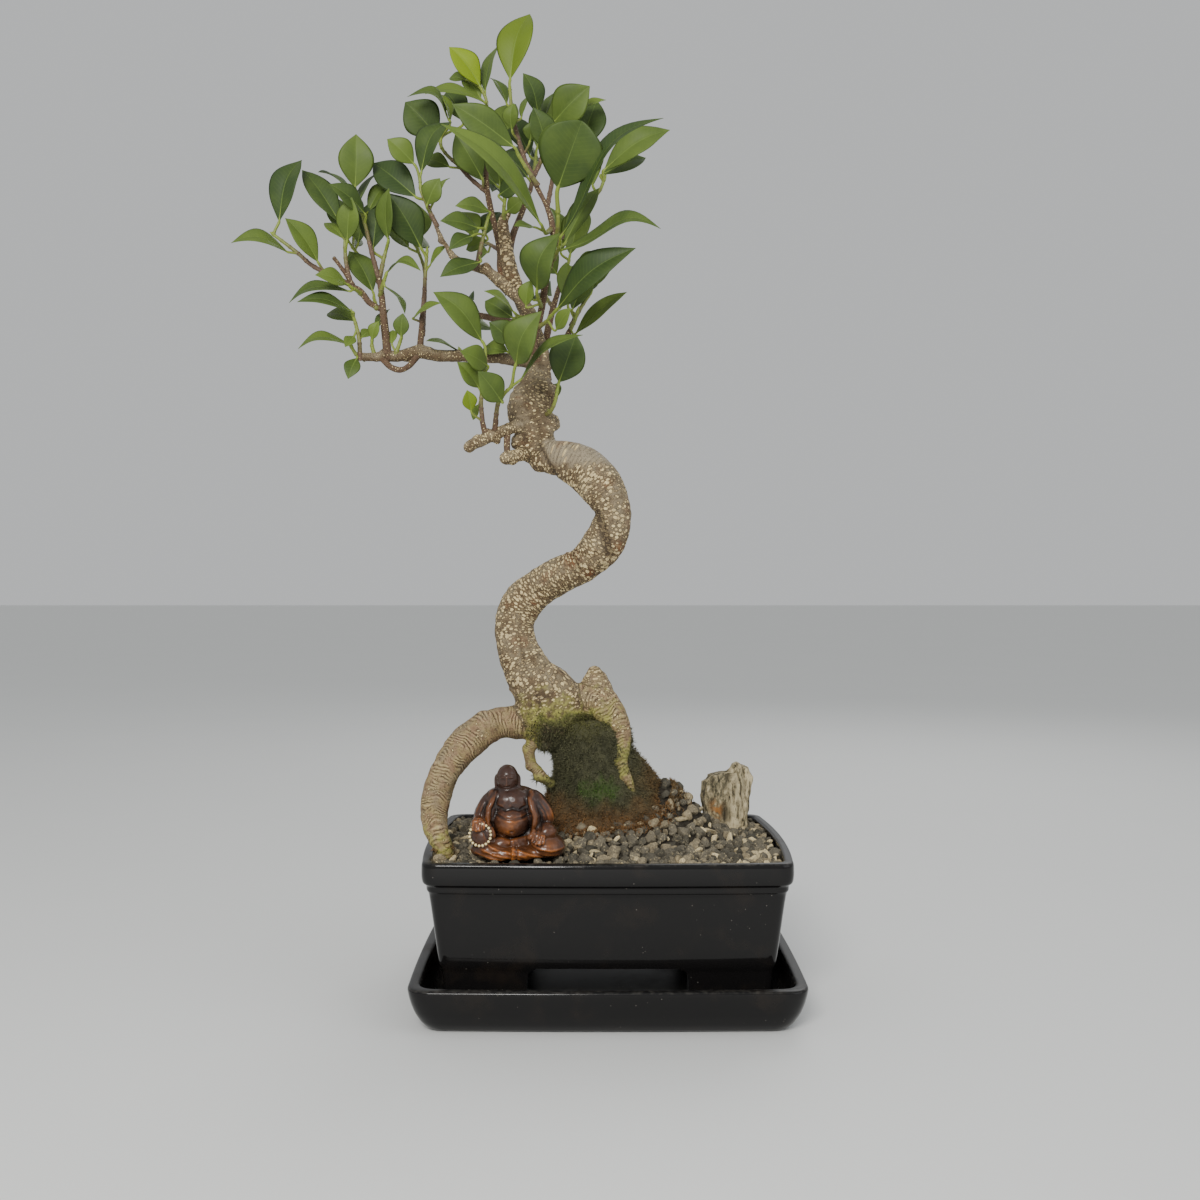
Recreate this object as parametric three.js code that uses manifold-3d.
// A small-leaved fig, trained as an S-shaped bonsai, in a glazed pot that stands on its drip tray.
// Millimetres, +Z up, the front of the pot towards -Y. The origin is the middle of the tray's
// underside, so the whole plant stands on z = 0.

import * as THREE from 'three';
import { mergeVertices } from 'three/addons/utils/BufferGeometryUtils.js';
import Module from 'manifold-3d';

const wasm = await Module();
wasm.setup();

// ---- driving dimensions ----------------------------------------------------------------------

const GAP = 0.35; // clearance between two pieces that touch

// The photograph's level view: what lies at the centre column and row, straight ahead of the eye.
const VIEW = { column: 590, row: 580, focal: 1250, eyeX: -12, eyeZ: 302, distance: 926.5 };

// The tray and the pot are rounded rectangles whose sides bow out at their middles. Each profile goes
// up the outside, over the rim and down to the inner floor, as heights and insets from the plan.
const TRAY = { halfX: 134.5, halfY: 104.5, height: 31, floor: 12, corner: 18, bowX: 1.5, bowY: 1.5 };
const TRAY_PROFILE = [
  [0, 15], [1.5, 12], [6, 8], [13, 4.2], [20, 1.8], [26, 0.4], [29.5, 0], [TRAY.height, 1.4],
  [TRAY.height, 4], [28, 6], [20, 10.5], [14, 17], [TRAY.floor, 20],
];

const POT = {
  halfX: 126.5, // at the rim's corners
  halfY: 91,
  corner: 13,
  bowX: 4.5, // how far a side stands out at its middle
  bowY: 2.5,
  rim: 112, // height of the rim
  stand: TRAY.floor + GAP, // height that the feet stand on
  underside: 39, // height of the wall's lower edge, where the feet begin
  floor: 46,
  wallInset: 15, // how far the foot of the wall is drawn in from the rim
  innerInset: 8.6, // how far the inside of the wall lies in from the rim
};
const POT_PROFILE = [
  [POT.stand, 15.5], [POT.stand + 2, 14.5], [POT.underside, 11.8], [90, 5], [92, 3.4], [95.5, 3.2],
  [97.5, 0.8], [102, 0.1], [109.5, 0.2], [POT.rim, 2], [POT.rim, 5.6], [110.5, 7],
  [100, POT.innerInset], [60, 15.5], [POT.floor, 19],
];

const FOOT_RECESS = { halfX: 55, halfY: 40 }; // the openings between the corner feet
const FOOT_THICKNESS = 12;
const DRAIN_HOLE = { radius: 8, x: 52 };

const SOIL_TOP = 99;
const GRAVEL_LEVEL = 109; // along the rim
const GRAVEL_RINGS = [1, 0.8, 0.62, 0.46, 0.3]; // rings of its surface, as shares of the way out

// Rises of the gravel: round the root mound, and the heap between the mound and the stone.
const GRAVEL_RISES = [
  { x: 6, y: 6, height: 27, spreadX: 42, spreadY: 34 },
  { x: 48, y: 10, height: 26, spreadX: 19, spreadY: 20 },
];

// The root mound, level by level: height, left and right edge, half its depth.
const MOUND_Y = 4;
const MOUND_SIDES = 18;
const MOUND_CREST = 2; // how far the crest stands above the highest level
const MOUND_LEVELS = [
  { z: 99.6, left: -54, right: 58, halfY: 43 },
  { z: 118, left: -50, right: 52, halfY: 38 },
  { z: 130, left: -46, right: 46, halfY: 33 },
  { z: 143, left: -44, right: 42, halfY: 30 },
  { z: 155, left: -40, right: 37, halfY: 29 },
  { z: 166, left: -39, right: 29, halfY: 28 },
  { z: 177, left: -40, right: 20, halfY: 28 },
  { z: 191, left: -44, right: 17, halfY: 27 },
  { z: 198.5, left: -41, right: 12, halfY: 24 },
];

const STONE = { y: 42, halfDepth: 12, foot: 103, bevel: 4 };
// The stone's outline, as columns and rows of the photograph, clockwise from its left foot.
const STONE_OUTLINE = [
  [703, 812], [700, 796], [702, 782], [709, 774], [719, 772], [728, 772],
  [732, 764], [737, 762], [748, 767], [752, 776], [750, 796], [747, 816],
];

// The figurine sits on the gravel just behind the front rim: where the middle of its seat is, the
// seat and the ring of beads, and its rounded masses, each by its middle, its half sizes and how
// many degrees it leans sideways. Places are measured from the middle of the seat's underside.
const FIGURINE = { x: -61.5, y: -60, base: 110.2 };
const SEAT = { x: 1, top: 29, foot: 31, height: 5, depthShare: 0.72, sides: 20 };
const BEADS = { at: [-25, -20, 18], radius: 8.2, bead: 1 };
const FIGURINE_MASSES = {
  right_knee: { at: [20, -6, 10], size: [13, 15, 9], lean: 14 },
  left_knee: { at: [-18, -6, 8], size: [15, 14, 8], lean: -6 },
  belly: { at: [-3.5, -3, 26], size: [18, 18, 16], lean: 0 },
  chest: { at: [-5, -1, 39], size: [19, 14, 12.5], lean: 0 },
  left_sleeve: { at: [-23, -2, 34], size: [6.5, 8.5, 14], lean: 30 },
  right_sleeve: { at: [16, -2, 35], size: [6.5, 8.5, 14], lean: -36 },
  left_hand: { at: [-27, -12, 25], size: [6, 8, 6], lean: 0 },
  left_drape: { at: [-24, -12, 16], size: [8, 6.5, 9], lean: 0 },
  right_hand: { at: [18, -14, 21], size: [8, 7, 6], lean: 0 },
  neck: { at: [-7, -3, 47], size: [8, 8, 5], lean: 0 },
  head: { at: [-7.5, -4, 55.5], size: [7.8, 8.6, 9], lean: 0 },
  left_ear: { at: [-15.3, -2.5, 52.5], size: [1.9, 2.3, 5.6], lean: 0 },
  right_ear: { at: [0.3, -2.5, 52.5], size: [1.9, 2.3, 5.6], lean: 0 },
};

const LEAF = { thickness: 0.9, fold: 0.2, petiole: 0.75, axil: 8 };
const SHOOT = { root: 1.7, end: 1.0 };

// ---- the wood: each limb's middle line as column, row, depth and width -------------------------
// Columns, rows and widths are the photograph's; depths are millimetres behind the pot's middle.

const LIMBS = {
  trunk: [
    [568, 736, 6, 46], [559, 722, 5, 68], [550, 706, 3, 76], [543, 692, 2, 65], [531, 676, 2, 50],
    [523, 661, 3, 46], [516, 643, 5, 41], [514, 622, 8, 39], [523, 602, 10, 42], [540, 587, 8, 38],
    [560, 575, 3, 37], [586, 562, -5, 36], [602, 545, -10, 42], [611, 524, -13, 38], [611, 505, -13, 38],
    [601, 486, -10, 43], [586, 470, -6, 44], [566, 460, -2, 38], [551, 457, 2, 32], [538, 456, 4, 30],
  ],
  upper_trunk: [
    [541, 464, 4, 18], [536, 449, 5, 37], [533, 431, 6, 40], [529, 412, 6, 45], [532, 396, 7, 38],
    [537, 380, 8, 27], [541, 364, 8, 19], [540, 348, 8, 16], [532, 325, 8, 15], [521, 300, 8, 15],
    [513, 280, 8, 17], [508, 260, 8, 15], [505, 240, 8, 13], [503, 222, 8, 11], [508, 212, 8, 8],
  ],
  shoulder_root: [
    [562, 714, 3, 44], [584, 699, 0, 34], [597, 701, -2, 36], [609, 713, -5, 32], [618, 728, -8, 26],
    [622, 745, -13, 19], [622, 762, -18, 13], [627, 778, -22, 10], [634, 794, -24, 7],
  ],
  shoulder_stub: [[591, 706, 4, 46], [595, 691, 3, 36], [595, 679, 3, 26], [594, 669, 3, 12]],
  arch_root: [
    [552, 718, 0, 36], [520, 722, -2, 34], [500, 723, -6, 31], [484, 730, -10, 33], [469, 741, -16, 35],
    [454, 758, -23, 32], [443, 776, -30, 30], [436, 797, -38, 30], [434, 815, -46, 28],
    [437, 832, -54, 24], [443, 846, -58, 19], [447, 862, -58, 17],
  ],
  slender_root: [
    [556, 722, 0, 18], [546, 733, -3, 17], [534, 742, -5, 14], [529, 753, -6, 12], [532, 764, -6, 11],
    [541, 775, -7, 11], [552, 785, -6, 10],
  ],
  back_root_left: [
    [562, 718, 14, 32], [566, 738, 26, 26], [564, 756, 34, 20], [562, 778, 41, 15], [564, 800, 45, 10],
  ],
  back_root_right: [
    [578, 712, 14, 34], [590, 728, 27, 27], [594, 752, 35, 21], [600, 776, 41, 15], [606, 800, 45, 10],
  ],
  left_branch: [
    [540, 362, 8, 14], [520, 361, 6, 13], [500, 358, 4, 12], [480, 357, 2, 12], [460, 356, 0, 12],
    [440, 356, -2, 12], [420, 352, -4, 14], [400, 356, -6, 12], [380, 357, -8, 10], [364, 357, -10, 9],
  ],
  branch_loop: [
    [383, 359, -9, 7], [391, 367, -11, 6], [400, 370, -11, 6], [409, 366, -10, 6], [417, 356, -6, 7],
  ],
  left_riser: [
    [388, 357, -8, 9], [385, 330, -8, 8], [383, 310, -8, 7], [381, 290, -8, 6], [379, 277, -8, 5],
  ],
  left_offshoot: [
    [383, 310, -8, 6], [370, 303, -8, 6], [360, 291, -9, 6], [350, 285, -10, 5], [336, 277, -12, 5],
  ],
  offshoot_stub: [[353, 285, -10, 5], [343, 270, -8, 4], [334, 258, -6, 4]],
  middle_riser: [[420, 352, -4, 7], [421, 335, -2, 6], [422, 322, 0, 5]],
  mid_left_branch: [
    [534, 320, 6, 14], [521, 301, -1, 13], [507, 288, -6, 12], [497, 279, -8, 12], [487, 271, -10, 10],
    [475, 268, -12, 8], [462, 262, -14, 7], [452, 255, -15, 7], [447, 247, -16, 6], [441, 238, -16, 6],
    [436, 226, -16, 5],
  ],
  twin_stem: [
    [510, 292, 10, 9], [501, 270, 15, 8], [500, 250, 18, 7], [497, 235, 18, 6], [492, 215, 20, 6],
    [488, 195, 22, 6], [486, 176, 22, 5],
  ],
  front_stem: [
    [539, 366, 6, 9], [534, 345, -4, 8], [541, 312, -14, 7], [547, 275, -22, 7], [552, 252, -28, 7],
    [553, 235, -30, 6], [551, 219, -30, 6], [546, 205, -28, 5], [539, 191, -26, 5], [531, 176, -24, 5],
  ],
  low_left_branch: [
    [540, 420, 2, 15], [528, 422, -3, 13], [514, 427, -8, 12], [500, 432, -12, 12], [489, 437, -14, 12],
    [478, 442, -16, 12], [469, 446, -18, 12],
  ],
  low_stub: [[536, 452, 2, 13], [521, 455, -6, 13], [506, 457, -12, 13]],
  low_prop: [[507, 456, -12, 7], [507, 446, -12, 6], [507, 433, -10, 7]],
  low_riser: [[486, 438, -14, 6], [482, 420, -18, 5]],
  low_riser_right: [[494, 434, -14, 6], [496, 420, -18, 5]],
  right_branch: [[536, 385, 8, 10], [548, 368, 14, 8], [560, 350, 20, 7], [570, 330, 26, 6]],
  back_branch_right: [[540, 372, 10, 11], [545, 345, 34, 9], [552, 312, 56, 7], [560, 285, 68, 6]],
  back_branch_left: [[534, 335, 10, 11], [508, 322, 32, 9], [482, 316, 50, 7], [464, 313, 60, 6]],
  back_branch_top: [[508, 262, 10, 9], [512, 238, 28, 7], [522, 212, 46, 6], [530, 190, 56, 5]],
};

// ---- the leafy shoots --------------------------------------------------------------------------

// A leaf: where its blade begins and ends, its true width in millimetres, how far the blade is turned
// about its midrib (0 faces the viewer, 90 faces the sky), how many millimetres the midrib bows out,
// and the shares of the length at which the blade is widest and the bow is highest.
function leaf(base, tip, width, turn = 20, bow = 3, widest = 0.53, crest = 0.56) {
  return { base, tip, width, turn, bow, widest, crest };
}

const SHOOTS = {
  shoot_left_tip: {
    stem: [
      [333, 275, -12], [322, 271, -13], [310, 264, -14], [300, 255, -15], [290, 247, -16], [274, 235, -17],
    ],
    leaves: [
      leaf([288, 252, -18], [231, 243, -34], 16, 55, 9),
      leaf([279, 222, -16], [302, 160, -8], 25, 42, 8),
      leaf([318, 262, -18], [285, 218, -34], 19, 35),
    ],
  },
  shoot_left_upper: {
    stem: [[350, 281, -9], [346, 262, -9], [345, 243, -10], [346, 232, -10]],
    leaves: [
      leaf([347, 241, -16], [352, 197, -28], 18, 20),
      leaf([340, 223, -8], [302, 170, 4], 21, 30),
      leaf([350, 190, 0], [318, 172, 18], 14, 84),
      leaf([344, 239, -4], [324, 223, 8], 11, 40, 2),
    ],
  },
  shoot_left_crown: {
    stem: [[377, 272, -9], [371, 250, -10], [366, 228, -10], [360, 207, -8]],
    leaves: [
      leaf([355, 188, -8], [356, 134, -14], 26, 0),
      leaf([365, 214, -16], [329, 184, -36], 18, 40),
      leaf([358, 205, -4], [380, 172, 14], 15, 74),
      leaf([368, 212, 2], [391, 181, 14], 14, 35),
    ],
  },
  shoot_left_inner: {
    stem: [[381, 272, -8], [384, 258, -6], [388, 243, -6]],
    leaves: [
      leaf([388, 240, -12], [389, 188, -22], 20, 50),
      leaf([373, 249, 0], [381, 196, 8], 26, 22),
    ],
  },
  shoot_left_spur: {
    stem: [[381, 292, -11], [383, 284, -16], [386, 275, -20]],
    leaves: [
      leaf([387, 272, -20], [421, 271, -36], 13, 65, 8),
      leaf([385, 286, -20], [405, 314, -26], 12, 72),
    ],
  },
  shoot_left_behind: {
    stem: [[376, 306, -7], [375, 302, -3], [374, 298, 0]],
    leaves: [
      leaf([373, 292, 1], [349, 251, 8], 21, 28),
    ],
  },
  shoot_left_fork: {
    stem: [[360, 293, -11], [356, 290, -16], [352, 288, -20]],
    leaves: [
      leaf([347, 284, -24], [315, 275, -44], 14, 35),
      leaf([350, 291, -22], [289, 303, -26], 16, 64, 8),
    ],
  },
  shoot_left_under: {
    stem: [[360, 355, -12], [359, 338, -13], [356, 325, -14], [353, 315, -16]],
    leaves: [
      leaf([353, 312, -20], [297, 302, -36], 15, 55, 6),
      leaf([355, 321, -12], [327, 314, 8], 15, 40),
      leaf([354, 336, -16], [345, 347, -26], 9, 20, 1),
      leaf([361, 338, -12], [371, 330, -4], 9, 30, 1),
    ],
  },
  shoot_branch_end: {
    stem: [[361, 357, -10], [356, 354, -12], [352, 348, -14]],
    leaves: [
      leaf([351, 345, -16], [298, 349, -24], 14, 62, 8),
      leaf([357, 358, -14], [348, 379, -22], 12, 10, 2),
    ],
  },
  shoot_branch_small: {
    stem: [[396, 353, -9], [399, 345, -10], [401, 339, -10]],
    leaves: [
      leaf([401, 337, -12], [403, 313, -18], 12, 10, 2),
      leaf([392, 344, -10], [393, 330, -2], 9, 20, 1),
    ],
  },
  shoot_branch_bud: {
    stem: [[374, 353, -9], [372, 346, -10], [372, 341, -10]],
    leaves: [
      leaf([372, 340, -12], [379, 321, -16], 10, 30, 2),
      leaf([376, 331, -4], [390, 309, 4], 11, 60, 2),
    ],
  },
  shoot_branch_middle: {
    stem: [[462, 354, 0], [461, 352, 1], [460, 350, 3]],
    leaves: [
      leaf([459, 351, 2], [426, 341, -16], 15, 80, 2),
    ],
  },
  shoot_middle: {
    stem: [[422, 318, 0], [424, 297, 2], [425, 280, 4], [426, 266, 6], [427, 252, 8]],
    leaves: [
      leaf([421, 248, 4], [388, 193, -8], 27, 12),
      leaf([430, 265, 2], [447, 246, -8], 10, 60, 2),
      leaf([413, 318, -4], [441, 303, -18], 11, 65, 2),
    ],
  },
  shoot_mid_left: {
    stem: [[435, 222, -16], [430, 212, -16], [426, 202, -16], [421, 190, -16], [420, 180, -16]],
    leaves: [
      leaf([416, 197, -10], [373, 163, 2], 25, 20),
      leaf([414, 164, -20], [387, 139, -28], 18, 20),
      leaf([421, 173, -16], [452, 122, -8], 24, 48, 9),
      leaf([427, 205, -24], [440, 178, -32], 16, 15),
      leaf([433, 203, -16], [450, 178, -8], 12, 65),
    ],
  },
  shoot_high_left: {
    stem: [[484, 190, 22], [470, 178, 20], [458, 165, 18], [447, 155, 16], [441, 146, 15], [441, 138, 14]],
    leaves: [
      leaf([438, 138, 14], [405, 102, 8], 30, 8),
      leaf([449, 120, 4], [407, 97, -10], 14, 64, 13),
      leaf([450, 122, 8], [440, 94, -2], 13, 62),
      leaf([463, 121, 24], [446, 92, 32], 20, 20),
      leaf([450, 167, 12], [424, 161, 22], 14, 35),
      leaf([482, 178, 14], [455, 134, 6], 26, 18),
    ],
  },
  shoot_high: {
    stem: [[486, 172, 22], [486, 160, 22], [487, 135, 22], [487, 112, 22], [486, 99, 22], [482, 90, 21]],
    leaves: [
      leaf([485, 102, 16], [425, 94, 2], 15, 62, 6),
      leaf([480, 86, 20], [449, 47, 14], 21, 30),
      leaf([481, 99, 26], [463, 76, 36], 14, 20),
      leaf([466, 80, 28], [449, 79, 34], 9, 40, 2),
      leaf([485, 92, 22], [498, 46, 32], 17, 62),
      leaf([492, 140, 30], [516, 104, 46], 20, 25),
    ],
  },
  shoot_top: {
    stem: [
      [531, 172, -24], [526, 163, -22], [521, 148, -20], [517, 134, -18], [512, 112, -14], [510, 90, -11],
    ],
    leaves: [
      leaf([510, 80, -8], [530, 14, 2], 29, 33, 7),
      leaf([512, 130, -26], [514, 103, -32], 13, 30),
      leaf([507, 104, -8], [490, 78, 4], 13, 60),
      leaf([521, 118, -10], [536, 92, 2], 13, 76),
      leaf([530, 141, -28], [533, 121, -34], 12, 10, 2),
    ],
  },
  shoot_top_right: {
    stem: [[534, 176, -20], [541, 160, -12], [543, 140, -8], [541, 122, -8]],
    leaves: [
      leaf([538, 114, -14], [523, 73, -26], 19, 35, 5),
      leaf([544, 120, 0], [561, 89, 14], 15, 70),
      leaf([546, 150, -26], [533, 107, -38], 20, 22),
    ],
  },
  shoot_behind_broad: {
    stem: [[548, 203, -20], [552, 182, -10], [555, 160, -4], [556, 140, -4], [554, 130, -6]],
    leaves: [
      leaf([553, 123, -12], [590, 86, -26], 28, 15),
      leaf([578, 150, 6], [597, 100, 12], 27, 12),
      leaf([574, 112, 0], [606, 100, -10], 10, 62, 2),
    ],
  },
  shoot_front_left: {
    stem: [[535, 181, -29], [526, 168, -34], [519, 156, -38]],
    leaves: [
      leaf([514, 147, -42], [452, 104, -56], 23, 14),
    ],
  },
  shoot_front_long: {
    stem: [[550, 230, -33], [546, 233, -42], [543, 229, -50]],
    leaves: [
      leaf([541, 224, -56], [441, 124, -98], 24, 52, 12),
      leaf([534, 227, -46], [514, 226, -58], 10, 60, 1),
    ],
  },
  shoot_centre_left: {
    stem: [[477, 265, -13], [480, 252, -13], [483, 238, -13], [488, 218, -14]],
    leaves: [
      leaf([490, 212, -16], [455, 206, -28], 14, 40),
      leaf([478, 228, -20], [440, 221, -36], 16, 38),
      leaf([472, 236, -26], [449, 250, -40], 13, 30),
      leaf([480, 262, -20], [440, 277, -36], 16, 38),
      leaf([487, 240, -8], [466, 250, 2], 12, 35, 1),
    ],
  },
  shoot_centre_top: {
    stem: [[504, 217, 5], [504, 208, 2], [505, 200, 0]],
    leaves: [
      leaf([499, 195, 2], [521, 182, -6], 16, 25, 2),
      leaf([507, 212, -4], [524, 199, -12], 13, 20, 2),
      leaf([500, 186, 4], [489, 150, 0], 20, 30),
    ],
  },
  shoot_right_broad: {
    stem: [[554, 246, -32], [556, 238, -38], [558, 226, -46], [558, 212, -52]],
    leaves: [
      leaf([558, 188, -62], [582, 119, -92], 46, 2, 2, 0.66),
    ],
  },
  shoot_right_arch: {
    stem: [[555, 256, -30], [558, 250, -38], [560, 244, -46]],
    leaves: [
      leaf([561, 236, -52], [664, 118, -98], 22, 62, 17, 0.5, 0.66),
      leaf([565, 243, -40], [599, 188, -24], 20, 42),
      leaf([561, 250, -50], [661, 229, -84], 20, 58, 13, 0.5, 0.74),
    ],
  },
  shoot_right_outer: {
    stem: [
      [556, 244, -26], [566, 231, -24], [578, 216, -22], [590, 203, -20], [600, 190, -20], [604, 180, -20],
    ],
    leaves: [
      leaf([604, 170, -24], [670, 130, -34], 25, 42, 6),
      leaf([601, 175, -16], [646, 158, 2], 19, 45),
      leaf([593, 186, -14], [578, 140, -4], 22, 25),
    ],
  },
  shoot_right_low: {
    stem: [[540, 326, -13], [546, 322, -20], [551, 316, -28]],
    leaves: [
      leaf([557, 309, -34], [636, 248, -66], 26, 36, 10),
      leaf([560, 308, -24], [592, 284, -6], 16, 66),
      leaf([556, 330, -30], [571, 308, -44], 12, 30, 2),
    ],
  },
  shoot_right_side: {
    stem: [[572, 326, 26], [575, 320, 26], [577, 313, 26]],
    leaves: [
      leaf([575, 334, 20], [627, 292, 8], 17, 50, 3),
      leaf([572, 310, 32], [592, 274, 44], 20, 30),
      leaf([568, 306, 34], [566, 262, 40], 21, 25),
    ],
  },
  shoot_front_centre: {
    stem: [[541, 306, -18], [540, 303, -26], [538, 298, -34]],
    leaves: [
      leaf([537, 290, -42], [560, 233, -62], 31, 34, 12, 0.46),
      leaf([526, 306, -26], [531, 280, -32], 14, 30, 2),
    ],
  },
  shoot_right_under: {
    stem: [[543, 415, 0], [550, 412, -10], [555, 402, -16], [557, 392, -18]],
    leaves: [
      leaf([559, 382, -20], [576, 336, -42], 27, 8),
      leaf([550, 404, 2], [558, 383, 12], 13, 30, 2),
    ],
  },
  shoot_low_right: {
    stem: [[496, 417, -20], [498, 404, -26], [504, 394, -32], [511, 387, -36]],
    leaves: [
      leaf([516, 364, -48], [542, 311, -70], 29, 30, 10, 0.46),
      leaf([520, 380, -42], [583, 335, -62], 17, 68, 8),
      leaf([502, 402, -38], [478, 371, -58], 20, 15),
    ],
  },
  shoot_low_left: {
    stem: [[482, 417, -19], [481, 404, -21], [482, 390, -23], [484, 374, -24]],
    leaves: [
      leaf([482, 341, -28], [433, 292, -44], 25, 35, 9),
      leaf([488, 366, -28], [460, 351, -50], 19, 28),
      leaf([479, 388, -28], [457, 362, -40], 16, 30),
      leaf([471, 411, -26], [467, 390, -34], 11, 10, 1),
      leaf([479, 404, -16], [473, 420, -10], 8, 40, 1),
    ],
  },
  shoot_trunk_left: {
    stem: [[526, 321, 3], [522, 318, -4], [518, 316, -10]],
    leaves: [
      leaf([513, 318, -8], [485, 301, 0], 18, 22),
      leaf([514, 312, -18], [484, 291, -34], 14, 68),
    ],
  },
  shoot_trunk_inner: {
    stem: [[530, 345, 4], [522, 345, -4], [515, 344, -12]],
    leaves: [
      leaf([511, 343, -16], [489, 322, -26], 19, 20),
      leaf([508, 352, -10], [482, 350, 4], 16, 45),
    ],
  },
  shoot_back_right: {
    stem: [[561, 280, 70], [566, 270, 76], [569, 261, 80]],
    leaves: [
      leaf([570, 255, 82], [583, 204, 94], 25, 22),
      leaf([561, 253, 88], [548, 206, 104], 22, 45, 5),
      leaf([574, 272, 78], [606, 258, 70], 20, 30),
      leaf([568, 278, 90], [584, 270, 130], 22, 84, 6),
      leaf([557, 274, 72], [536, 248, 62], 20, 20),
    ],
  },
  shoot_back_mid: {
    stem: [[552, 306, 60], [548, 300, 70], [544, 292, 80]],
    leaves: [
      leaf([541, 287, 86], [526, 248, 98], 24, 35),
      leaf([546, 302, 88], [552, 296, 134], 22, 88, 8),
      leaf([534, 300, 82], [505, 296, 108], 22, 78, 7),
    ],
  },
  shoot_back_left: {
    stem: [[506, 254, 16], [499, 250, 36], [489, 244, 56], [480, 240, 70]],
    leaves: [
      leaf([476, 238, 74], [462, 212, 86], 20, 20),
      leaf([484, 236, 76], [500, 212, 92], 20, 40),
      leaf([488, 252, 62], [476, 264, 96], 18, 65),
      leaf([474, 246, 76], [468, 238, 120], 21, 85, 7),
    ],
  },
  shoot_back_low: {
    stem: [[467, 314, 62], [464, 317, 70], [461, 320, 78]],
    leaves: [
      leaf([458, 322, 84], [452, 318, 122], 20, 80, 6),
      leaf([470, 320, 76], [480, 330, 110], 21, 80, 7),
      leaf([468, 310, 74], [474, 300, 108], 18, 70, 5),
    ],
  },
  shoot_back_top: {
    stem: [[531, 187, 58], [534, 172, 62], [536, 156, 64]],
    leaves: [
      leaf([537, 148, 66], [552, 98, 74], 25, 20),
      leaf([530, 156, 70], [506, 114, 84], 24, 35),
      leaf([543, 160, 68], [584, 130, 78], 23, 40),
      leaf([536, 172, 74], [540, 160, 118], 22, 86, 7),
      leaf([528, 178, 56], [500, 152, 46], 20, 40),
    ],
  },
  shoot_back_crown: {
    stem: [[520, 208, 50], [512, 200, 58], [502, 190, 64]],
    leaves: [
      leaf([497, 186, 68], [462, 160, 82], 24, 40),
      leaf([504, 196, 74], [492, 192, 118], 22, 84, 7),
      leaf([503, 182, 72], [518, 146, 92], 21, 40),
    ],
  },
  shoot_inner_left: {
    stem: [[423, 332, 1], [424, 312, 16], [425, 290, 30], [424, 268, 42], [418, 250, 50]],
    leaves: [
      leaf([413, 242, 53], [395, 204, 60], 24, 20),
      leaf([418, 240, 58], [416, 203, 68], 21, 35),
      leaf([409, 248, 46], [386, 230, 40], 19, 45, 4),
      leaf([416, 246, 62], [411, 232, 100], 21, 85, 7),
    ],
  },
  shoot_inner_far_left: {
    stem: [[380, 284, -4], [374, 276, 16], [364, 262, 26], [353, 248, 31]],
    leaves: [
      leaf([347, 238, 34], [330, 196, 42], 20, 20),
      leaf([354, 238, 39], [358, 196, 49], 21, 35),
      leaf([358, 244, 33], [374, 208, 41], 20, 45, 4),
      leaf([352, 246, 39], [346, 230, 75], 19, 85, 6),
    ],
  },
  shoot_inner_right: {
    stem: [[573, 322, 29], [582, 306, 34], [590, 294, 38]],
    leaves: [
      leaf([591, 289, 42], [606, 258, 50], 20, 25),
      leaf([586, 292, 46], [580, 270, 74], 20, 60, 5),
    ],
  },
};

// ---- tools -------------------------------------------------------------------------------------

// The point that lies at a column and row of the photograph, at a depth behind the pot's middle.
function seen([column, row, depth]) {
  const perPixel = millimetresPerPixel(depth);
  const x = VIEW.eyeX + (column - VIEW.column) * perPixel;
  const z = VIEW.eyeZ - (row - VIEW.row) * perPixel;
  return new THREE.Vector3(x, depth, z);
}

function millimetresPerPixel(depth) {
  return (VIEW.distance + depth) / VIEW.focal;
}

const EYE = new THREE.Vector3(VIEW.eyeX, -VIEW.distance, VIEW.eyeZ);

// A closed skin over a run of rings, each turning anticlockwise about the way the run goes, with a
// fan from each end ring to a point.
function skin(rings, start, end) {
  const size = rings[0].length;
  const points = [...rings.flat(), start, end];
  const startIndex = points.length - 2;
  const endIndex = points.length - 1;
  const triangles = [];
  for (let side = 0; side < size; side += 1) {
    const next = (side + 1) % size;
    for (let level = 0; level + 1 < rings.length; level += 1) {
      const low = level * size;
      const high = low + size;
      triangles.push(low + side, low + next, high + next);
      triangles.push(low + side, high + next, high + side);
    }
    const last = (rings.length - 1) * size;
    triangles.push(startIndex, next, side);
    triangles.push(endIndex, last + side, last + next);
  }
  const geometry = new THREE.BufferGeometry();
  geometry.setAttribute('position', new THREE.Float32BufferAttribute(points.flatMap((p) => p.toArray()), 3));
  geometry.setIndex(triangles);
  return geometry;
}

// A closed geometry as a solid that can be joined and cut.
function solid(geometry) {
  const bare = geometry.clone();
  bare.deleteAttribute('normal');
  bare.deleteAttribute('uv');
  const merged = mergeVertices(bare, 1e-4);
  return new wasm.Manifold(new wasm.Mesh({
    numProp: 3,
    vertProperties: new Float32Array(merged.getAttribute('position').array),
    triVerts: new Uint32Array(merged.getIndex().array),
  }));
}

function joined(solids) {
  return solids.reduce((whole, piece) => whole.add(piece));
}

// The largest of the separate bodies of a solid: a cut's waste and any sealed pocket are dropped.
function largestBody(cut) {
  return cut.decompose().reduce((largest, body) => (body.volume() > largest.volume() ? body : largest));
}

function geometryOf(body) {
  const mesh = body.getMesh();
  const geometry = new THREE.BufferGeometry();
  geometry.setAttribute('position', new THREE.BufferAttribute(new Float32Array(mesh.vertProperties), 3));
  geometry.setIndex(new THREE.BufferAttribute(new Uint32Array(mesh.triVerts), 1));
  return geometry;
}

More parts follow.
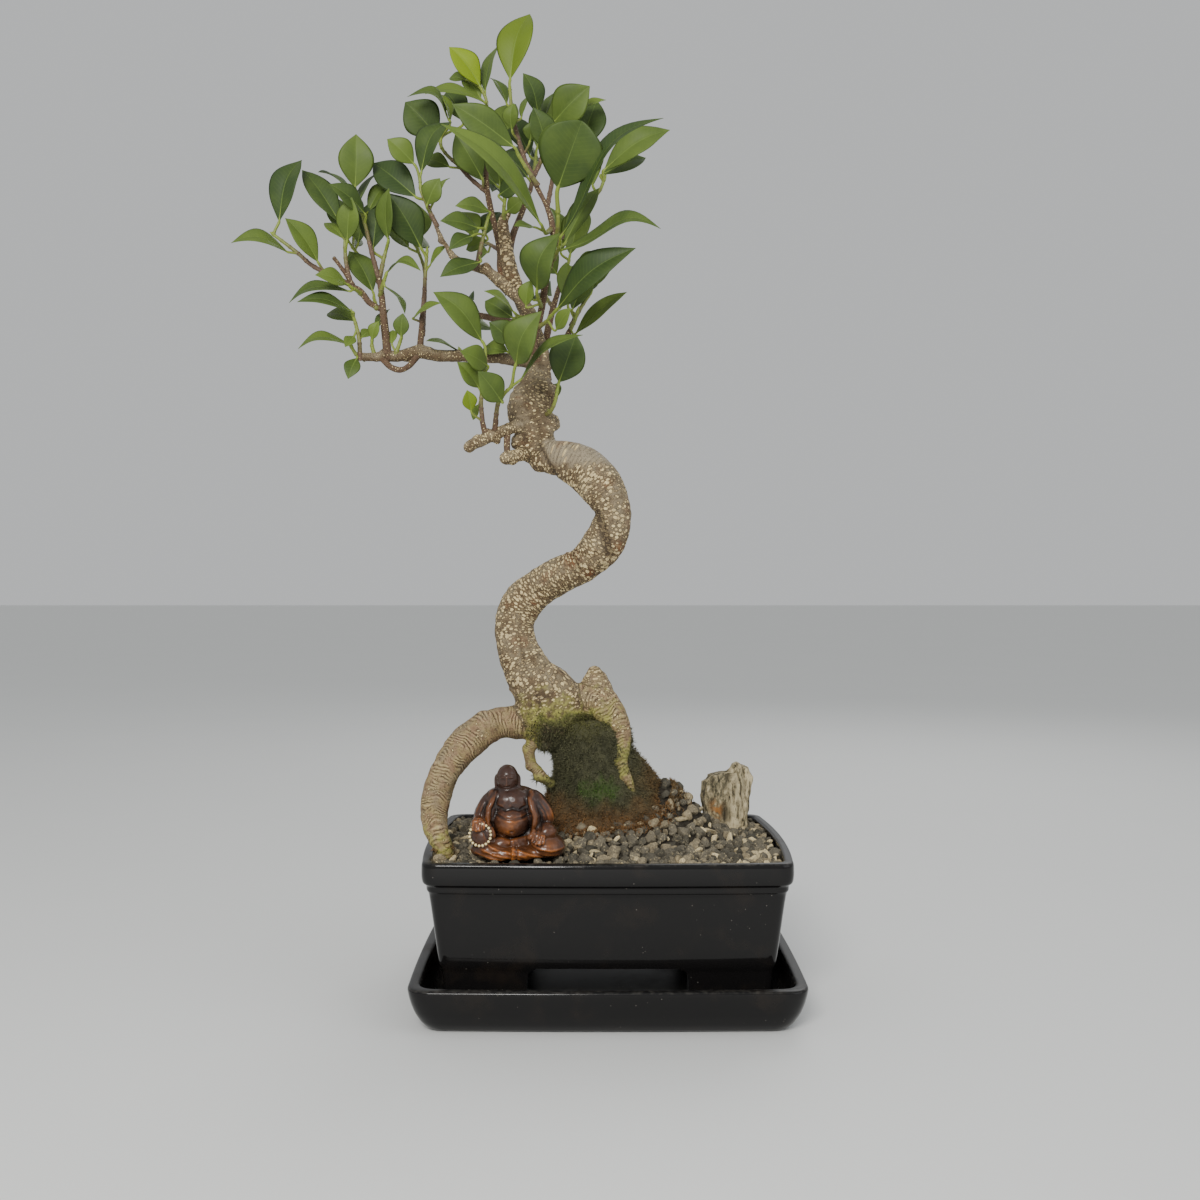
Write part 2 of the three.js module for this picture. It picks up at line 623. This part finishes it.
function boxSolid(halfX, halfY, low, high) {
  const box = new THREE.BoxGeometry(2 * halfX, 2 * halfY, high - low);
  box.translate(0, 0, (low + high) / 2);
  return solid(box);
}

// ---- pot and tray ------------------------------------------------------------------------------

// The plan of a rectangle with rounded corners whose sides bow outwards, drawn in by inset.
function plan({ halfX, halfY, corner, bowX, bowY }, inset) {
  const x = halfX - inset;
  const y = halfY - inset;
  const radius = Math.max(corner - inset * 0.4, 4);
  const outline = new THREE.Shape();
  outline.moveTo(x, -y + radius);
  outline.quadraticCurveTo(x + 2 * bowX, 0, x, y - radius);
  outline.quadraticCurveTo(x, y, x - radius, y);
  outline.quadraticCurveTo(0, y + 2 * bowY, -x + radius, y);
  outline.quadraticCurveTo(-x, y, -x, y - radius);
  outline.quadraticCurveTo(-x - 2 * bowX, 0, -x, -y + radius);
  outline.quadraticCurveTo(-x, -y, -x + radius, -y);
  outline.quadraticCurveTo(0, -y - 2 * bowY, x - radius, -y);
  outline.quadraticCurveTo(x, -y, x, -y + radius);
  return outline.getPoints(4).slice(0, -1);
}

// A solid whose rings follow one plan, for a profile of heights and insets.
function vessel(size, profile) {
  const rings = profile.map(([z, inset]) => plan(size, inset).map((p) => new THREE.Vector3(p.x, p.y, z)));
  const bottom = new THREE.Vector3(0, 0, profile[0][0]);
  const top = new THREE.Vector3(0, 0, profile[profile.length - 1][0]);
  return solid(skin(rings, bottom, top));
}

function pot() {
  const shell = vessel(POT, POT_PROFILE);
  const below = POT.stand - 1;
  const acrossRecess = boxSolid(FOOT_RECESS.halfX, 2 * POT.halfY, below, POT.underside);
  const alongRecess = boxSolid(2 * POT.halfX, FOOT_RECESS.halfY, below, POT.underside);
  const halfX = POT.halfX - POT.wallInset - FOOT_THICKNESS;
  const halfY = POT.halfY - POT.wallInset - FOOT_THICKNESS;
  const hollow = boxSolid(halfX, halfY, below, POT.underside);
  const drains = [-1, 1].map((side) => {
    const drain = new THREE.CylinderGeometry(DRAIN_HOLE.radius, DRAIN_HOLE.radius, 40, 16);
    drain.rotateX(Math.PI / 2);
    drain.translate(side * DRAIN_HOLE.x, 0, POT.underside);
    return solid(drain);
  });
  return shell.subtract(joined([acrossRecess, alongRecess, hollow, ...drains]));
}

// ---- what the pot holds --------------------------------------------------------------------------

function soil() {
  const [[lowWall, lowInset], [floor, floorInset]] = POT_PROFILE.slice(-2);
  return vessel(POT, [
    [floor + GAP, floorInset + GAP], [lowWall, lowInset + GAP], [SOIL_TOP, POT.innerInset + 2 * GAP],
  ]);
}

function gravelHeight(x, y) {
  return GRAVEL_RISES.reduce((height, rise) => {
    const across = (x - rise.x) / rise.spreadX;
    const deep = (y - rise.y) / rise.spreadY;
    return height + rise.height * Math.exp(-(across * across + deep * deep) / 2);
  }, GRAVEL_LEVEL);
}

function gravelBed(hollows) {
  const edge = plan(POT, POT.innerInset + GAP);
  const foot = edge.map((p) => new THREE.Vector3(p.x, p.y, SOIL_TOP + GAP));
  const surface = GRAVEL_RINGS.map((share) => edge.map((p) => {
    const x = p.x * share;
    const y = p.y * share;
    return new THREE.Vector3(x, y, gravelHeight(x, y));
  }));
  const bed = solid(skin(
    [foot, ...surface],
    new THREE.Vector3(0, 0, SOIL_TOP + GAP),
    new THREE.Vector3(0, 0, gravelHeight(0, 0)),
  ));
  return largestBody(bed.subtract(hollows));
}

function mossMound(grow = 0) {
  const rings = MOUND_LEVELS.map(({ z, left, right, halfY }, level) => {
    const centre = (left + right) / 2;
    const halfX = (right - left) / 2 + grow;
    return Array.from({ length: MOUND_SIDES }, (_, side) => {
      const angle = (side / MOUND_SIDES) * 2 * Math.PI;
      const lump = 1 + 0.035 * Math.sin(3 * angle + 1.7 * level);
      const x = centre + halfX * lump * Math.cos(angle);
      const y = MOUND_Y + (halfY + grow) * lump * Math.sin(angle);
      return new THREE.Vector3(x, y, level === 0 ? z - grow : z);
    });
  });
  const lowest = MOUND_LEVELS[0];
  const highest = MOUND_LEVELS[MOUND_LEVELS.length - 1];
  const foot = new THREE.Vector3((lowest.left + lowest.right) / 2, MOUND_Y, lowest.z - grow);
  const crestX = (highest.left + highest.right) / 2;
  const crest = new THREE.Vector3(crestX, MOUND_Y, highest.z + MOUND_CREST + grow);
  return solid(skin(rings, foot, crest));
}

function stone(grow = 0) {
  const corners = STONE_OUTLINE.map(([column, row]) => seen([column, row, STONE.y]));
  const left = corners[0];
  const right = corners[corners.length - 1];
  const outline = [
    new THREE.Vector2(left.x + 1, STONE.foot),
    ...corners.map((p) => new THREE.Vector2(p.x, p.z)),
    new THREE.Vector2(right.x - 1, STONE.foot),
  ];
  const slab = new THREE.ExtrudeGeometry(new THREE.Shape(outline), {
    depth: 2 * (STONE.halfDepth - STONE.bevel),
    bevelSize: grow,
    bevelThickness: STONE.bevel + grow,
    bevelSegments: 1,
  });
  slab.rotateX(Math.PI / 2);
  slab.translate(0, STONE.y + STONE.halfDepth - STONE.bevel, 0);
  return solid(slab);
}

// ---- the figurine ----------------------------------------------------------------------------------

// Moves a geometry to a place that is measured from the middle of the seat's underside.
function onFigurine(geometry, [x, y, z]) {
  geometry.translate(FIGURINE.x + x, FIGURINE.y + y, FIGURINE.base + z);
  return solid(geometry);
}

function mass({ at, size, lean }) {
  const ball = new THREE.SphereGeometry(1, 10, 7);
  ball.scale(...size);
  ball.rotateY(THREE.MathUtils.degToRad(lean));
  return onFigurine(ball, at);
}

// The oval seat, or the room that it needs when it is grown.
function seat(height, grow = 0) {
  const disc = new THREE.CylinderGeometry(SEAT.top + grow, SEAT.foot + grow, height, SEAT.sides);
  disc.scale(1, 1, SEAT.depthShare);
  disc.rotateX(Math.PI / 2);
  return onFigurine(disc, [SEAT.x, 0, height / 2 - grow]);
}

function figurine() {
  const beads = new THREE.TorusGeometry(BEADS.radius, BEADS.bead, 5, 16);
  beads.rotateX(Math.PI / 2);
  const masses = Object.values(FIGURINE_MASSES).map(mass);
  return joined([seat(SEAT.height), ...masses, onFigurine(beads, BEADS.at)]);
}

// ---- the wood --------------------------------------------------------------------------------------

// A frame carried along a line of points without turning about it: for each point, the way ahead
// and the two directions square to it.
function framesAlong(points) {
  let normal = null;
  return points.map((point, index) => {
    const before = points[Math.max(index - 1, 0)];
    const after = points[Math.min(index + 1, points.length - 1)];
    const ahead = after.clone().sub(before).normalize();
    if (normal === null) {
      normal = new THREE.Vector3(0, -1, 0.1);
    }
    normal = normal.clone().addScaledVector(ahead, -normal.dot(ahead)).normalize();
    return { ahead, normal, side: ahead.clone().cross(normal) };
  });
}

// A round tube whose radius changes along a line of points, with blunt ends.
function taperedTube(points, radii, sides) {
  const frames = framesAlong(points);
  const rings = points.map((point, index) => Array.from({ length: sides }, (_, side) => {
    const angle = (side / sides) * 2 * Math.PI;
    return point.clone()
      .addScaledVector(frames[index].normal, radii[index] * Math.cos(angle))
      .addScaledVector(frames[index].side, radii[index] * Math.sin(angle));
  }));
  const last = points.length - 1;
  const start = points[0].clone().addScaledVector(frames[0].ahead, -0.35 * radii[0]);
  const end = points[last].clone().addScaledVector(frames[last].ahead, 0.35 * radii[last]);
  return solid(skin(rings, start, end));
}

// A limb of the wood, smoothed through its readings.
function limb(readings, sides, grow) {
  const line = new THREE.CatmullRomCurve3(readings.map(seen), false, 'centripetal');
  const spans = readings.length - 1;
  const perSpan = sides === THICK_SIDES ? 2 : 1;
  const points = [];
  const radii = [];
  for (let step = 0; step <= spans * perSpan; step += 1) {
    const place = step / perSpan;
    const index = Math.min(Math.floor(place), spans - 1);
    const width = THREE.MathUtils.lerp(readings[index][3], readings[index + 1][3], place - index);
    const point = line.getPoint(place / spans);
    points.push(point);
    radii.push((width / 2) * millimetresPerPixel(point.y) + grow);
  }
  return taperedTube(points, radii, sides);
}

const THICK_LIMBS = ['trunk', 'arch_root'];
const THICK_SIDES = 9;
const THIN_SIDES = 5;

function wood(grow = 0) {
  return largestBody(joined(Object.entries(LIMBS).map(([name, readings]) => {
    const sides = THICK_LIMBS.includes(name) ? THICK_SIDES : THIN_SIDES;
    return limb(readings, sides, grow);
  })));
}

// ---- leafy shoots ----------------------------------------------------------------------------------

// The directions of a leaf: along its midrib, out of its upper face and across the blade.
function leafAxes({ base, tip, turn }) {
  const from = seen(base);
  const along = seen(tip).sub(from).normalize();
  const facing = EYE.clone().sub(from);
  facing.addScaledVector(along, -facing.dot(along)).normalize();
  const skyward = along.clone().cross(facing);
  if (skyward.z < 0) {
    skyward.negate();
  }
  const angle = THREE.MathUtils.degToRad(turn);
  const upper = facing.multiplyScalar(Math.cos(angle)).addScaledVector(skyward, Math.sin(angle));
  return { along, upper, side: upper.clone().cross(along) };
}

// A hump that is 0 at both ends of a length and 1 at its crest.
function hump(share, crest) {
  return Math.sin(Math.PI * share ** (Math.log(0.5) / Math.log(crest)));
}

// Half the blade's width at a share of its length.
function halfWidth(share, { width, widest }) {
  return (width / 2) * hump(share, widest) ** 0.8;
}

// The place on a shoot's stem where a leaf's stalk leaves it.
function axil(stem, blade) {
  const line = new THREE.CatmullRomCurve3(stem.map(seen), false, 'centripetal');
  const aim = seen(blade.base).addScaledVector(leafAxes(blade).along, -LEAF.axil);
  const places = line.getPoints(24);
  return places.reduce((best, place) => (place.distanceTo(aim) < best.distanceTo(aim) ? place : best));
}

// A ring of a blade or stalk about a point. A leaf's own ring is a diamond with sharp edges; a grown
// one, which only cuts room for the leaf, has edges as thick as it has grown.
function bladeRing(point, side, upper, half, thickness, lift, grow) {
  const place = (across, up) => (
    point.clone().addScaledVector(side, across).addScaledVector(upper, up)
  );
  const reach = half + grow;
  const rise = thickness + grow;
  if (grow === 0) {
    return [place(reach, lift), place(0, rise), place(-reach, lift), place(0, -rise)];
  }
  return [
    place(reach, lift - grow), place(reach, lift + grow), place(0, rise),
    place(-reach, lift + grow), place(-reach, lift - grow), place(0, -rise),
  ];
}

const BLADE_STATIONS = [0.2, 0.52, 0.82]; // where a blade has a ring, as shares of its length

// One leaf with its stalk, from the axil to the drawn-out tip.
function leafSolid(blade, stem, grow) {
  const { along, upper, side } = leafAxes(blade);
  const base = seen(blade.base);
  const length = seen(blade.tip).distanceTo(base);
  const start = axil(stem, blade);
  const stalk = base.clone().sub(start).normalize();
  const stalkUpper = upper.clone().addScaledVector(stalk, -upper.dot(stalk)).normalize();
  const stalkSide = stalkUpper.clone().cross(stalk);
  const thin = LEAF.petiole;
  const rings = [
    bladeRing(start, stalkSide, stalkUpper, thin, thin, 0, grow),
    bladeRing(base, side, upper, thin, thin, 0, grow),
  ];
  for (const share of BLADE_STATIONS) {
    const half = halfWidth(share, blade);
    const middle = base.clone()
      .addScaledVector(along, length * share)
      .addScaledVector(upper, blade.bow * hump(share, blade.crest));
    rings.push(bladeRing(middle, side, upper, half, LEAF.thickness / 2, half * LEAF.fold, grow));
  }
  const end = seen(blade.tip).addScaledVector(along, grow);
  return solid(skin(rings, start.clone().addScaledVector(stalk, -thin - grow), end));
}

function shoot({ stem, leaves }, grow = 0) {
  const points = stem.map(seen);
  const radii = points.map((_, index) => (
    THREE.MathUtils.lerp(SHOOT.root, SHOOT.end, index / (points.length - 1)) + grow
  ));
  const stalks = leaves.map((blade) => leafSolid(blade, stem, grow));
  return joined([taperedTube(points, radii, 5), ...stalks]);
}

// Every shoot, each kept clear of the wood and of the shoots named before it.
function leafyShoots(grownWood) {
  const placed = [];
  return Object.entries(SHOOTS).map(([name, readings]) => {
    let body = shoot(readings).subtract(grownWood);
    const box = body.boundingBox();
    for (const other of placed) {
      if (boxesMeet(box, other.boundingBox())) {
        body = body.subtract(other);
      }
    }
    placed.push(shoot(readings, GAP));
    return [name, largestBody(body)];
  });
}

function boxesMeet(a, b) {
  return [0, 1, 2].every((axis) => a.min[axis] <= b.max[axis] && b.min[axis] <= a.max[axis]);
}

// ---- the plant, put together -------------------------------------------------------------------------

const plant = new THREE.Group();

function addPiece(name, body, color, roughness) {
  const material = new THREE.MeshStandardMaterial({ color, roughness, metalness: 0 });
  const mesh = new THREE.Mesh(geometryOf(body), material);
  mesh.name = name;
  plant.add(mesh);
}

const woodBody = wood();
const grownWood = wood(GAP);
const moundBody = largestBody(mossMound().subtract(grownWood));
const stoneBody = stone();
const figurineBody = largestBody(figurine().subtract(grownWood));
const roomForSeat = seat(8 * SEAT.height, 2 * GAP);
const hollows = joined([mossMound(GAP), stone(GAP), grownWood, roomForSeat]);

addPiece('drip_tray', vessel(TRAY, TRAY_PROFILE), 0x161616, 0.2);
addPiece('pot', pot(), 0x161616, 0.2);
addPiece('soil', soil(), 0x2c2118, 0.95);
addPiece('gravel_bed', gravelBed(hollows), 0x6e665a, 0.9);
addPiece('moss_mound', moundBody, 0x2f3820, 0.95);
addPiece('stone', stoneBody, 0x8f8872, 0.85);
addPiece('figurine', figurineBody, 0x5a2a18, 0.3);
addPiece('wood', woodBody, 0x85755c, 0.85);
for (const [name, body] of leafyShoots(grownWood)) {
  addPiece(name, body, 0x4a5c2e, 0.4);
}

export default plant;
